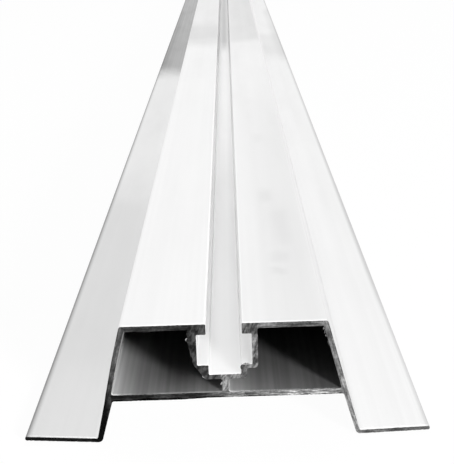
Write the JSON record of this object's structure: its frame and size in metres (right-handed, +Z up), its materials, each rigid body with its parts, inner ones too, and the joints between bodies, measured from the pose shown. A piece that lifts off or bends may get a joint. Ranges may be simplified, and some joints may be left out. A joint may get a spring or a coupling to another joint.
{
  "type": "solar mounting rail",
  "caption": "Flat hat-section aluminium rail with a lipped bolt channel, hollow chambers beside it and wide flanges that are screwed to a roof sheet.",
  "frame": {"origin": "middle of the rail's length, centred between the flanges, level with their undersides", "axes": "+Y along the rail, +Z up out of the bolt slot, +X across the flanges"},
  "size_m": [0.1, 1.2, 0.0305],
  "materials": {
    "mill_aluminium": "bright mill finish with faint die lines along the rail, rough-sawn ends"
  },
  "bodies": {
    "root": {"rail": "mill_aluminium"}
  },
  "joints": []
}
